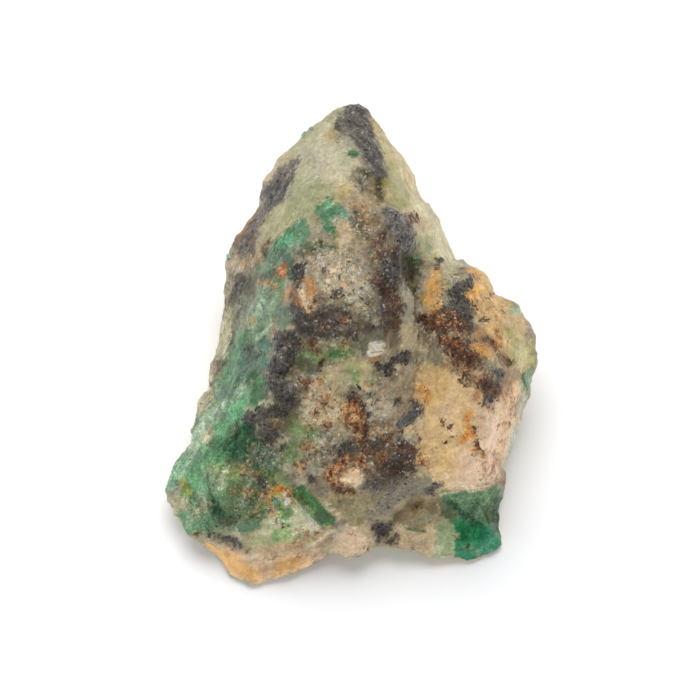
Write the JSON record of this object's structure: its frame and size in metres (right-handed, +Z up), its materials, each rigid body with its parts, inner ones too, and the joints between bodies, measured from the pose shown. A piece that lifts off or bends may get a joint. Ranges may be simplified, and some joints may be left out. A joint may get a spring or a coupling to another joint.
{
  "type": "rough emerald",
  "caption": "Rough emerald: a broken, pointed lump of green beryl, pale quartz and dark mica schist with rust stains, lying on its uneven underside.",
  "frame": {"origin": "on the surface that the stone lies on, under the middle of its box", "axes": "+Y towards the pointed tip, along the longest extent; +Z up from the surface, the shortest extent; +X to the right as the picture shows it"},
  "size_m": [0.0376, 0.0468, 0.0239],
  "materials": {
    "stone": "broken mineral, satin to glassy"
  },
  "bodies": {
    "root": {"rough_emerald": "stone"}
  },
  "joints": []
}
